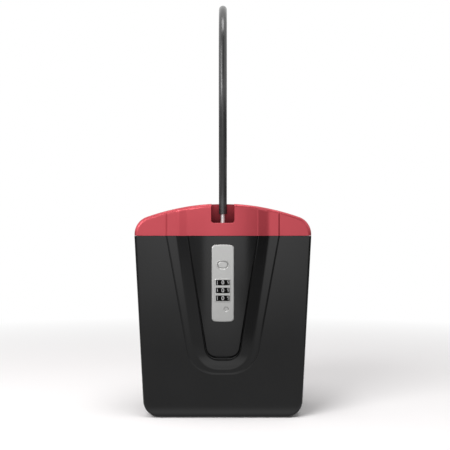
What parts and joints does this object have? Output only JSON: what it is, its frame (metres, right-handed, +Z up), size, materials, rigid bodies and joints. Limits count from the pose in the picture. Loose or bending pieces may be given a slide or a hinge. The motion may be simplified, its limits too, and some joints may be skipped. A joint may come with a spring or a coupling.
{
  "type": "portable beach safe",
  "caption": "Tapered lockable bin with a hinged lid, dial lock on the front and a sleeved steel loop that locks it shut and to a fixed post.",
  "frame": {"origin": "centre of the flat base", "axes": "+Z up, -Y out of the front with the lock plate, +X to the right seen from the front"},
  "size_m": [0.165, 0.1314, 0.3929],
  "materials": {
    "black_shell": "satin moulded",
    "red_lid": "satin moulded",
    "plate_metal": "satin plated",
    "black_case": "matte",
    "dial_black": "satin with white numbers",
    "brass": "machined",
    "steel": "satin",
    "black_sleeve": "smooth vinyl"
  },
  "bodies": {
    "base": {"body_shell": "black_shell", "lock_plate": "plate_metal", "lock_case": "black_case", "lock_cover": "black_case", "lock_screws": "steel", "dial_shaft": "steel", "dial_detent": "steel", "hinge_pin": "steel", "button_spring": "steel", "bolt_spring": "steel", "reset_spring": "steel"},
    "lid_body": {"lid": "red_lid", "heel_bush": "black_case"},
    "loop": {"loop_core": "steel", "loop_sleeve": "black_sleeve", "toe_pin": "steel", "heel_pin": "steel", "heel_clip": "steel"},
    "top_dial": {"dial_top": "dial_black", "cam_top": "brass"},
    "middle_dial": {"dial_middle": "dial_black", "cam_middle": "brass"},
    "bottom_dial": {"dial_bottom": "dial_black", "cam_bottom": "brass"},
    "button": {"release_button": "plate_metal"},
    "latch": {"latch_bolt": "steel", "fence_bar": "steel"},
    "reset": {"reset_pin": "steel"}
  },
  "joints": [
    {"name": "lid_hinge", "type": "hinge", "parent": "base", "child": "lid_body", "pos_m": [0, 0.053, 0.17015], "axis": [-1, 0, 0], "range_deg": [0, 105]},
    {"name": "loop_lift", "type": "slide", "parent": "lid_body", "child": "loop", "axis": [0, 0, 1], "range_m": [0, 0.026]},
    {"name": "top_dial_turn", "type": "hinge", "parent": "base", "child": "top_dial", "pos_m": [0, -0.0494, 0.1272], "axis": [0, 0, 1], "continuous": true},
    {"name": "middle_dial_turn", "type": "hinge", "parent": "base", "child": "middle_dial", "pos_m": [0, -0.0494, 0.12], "axis": [0, 0, 1], "continuous": true},
    {"name": "bottom_dial_turn", "type": "hinge", "parent": "base", "child": "bottom_dial", "pos_m": [0, -0.0494, 0.1128], "axis": [0, 0, 1], "continuous": true},
    {"name": "button_press", "type": "slide", "parent": "base", "child": "button", "axis": [0, 1, 0], "range_m": [0, 0.0025], "stiffness_N_per_m": 1000, "springref_m": -0.001, "deforming": ["button_spring"]},
    {"name": "bolt_slide", "type": "slide", "parent": "base", "child": "latch", "axis": [0, 1, 0], "range_m": [-0.0025, 0], "deforming": ["bolt_spring"]},
    {"name": "reset_press", "type": "slide", "parent": "base", "child": "reset", "axis": [0, 1, 0], "range_m": [0, 0.0015], "stiffness_N_per_m": 600, "springref_m": -0.001, "deforming": ["reset_spring"]}
  ]
}
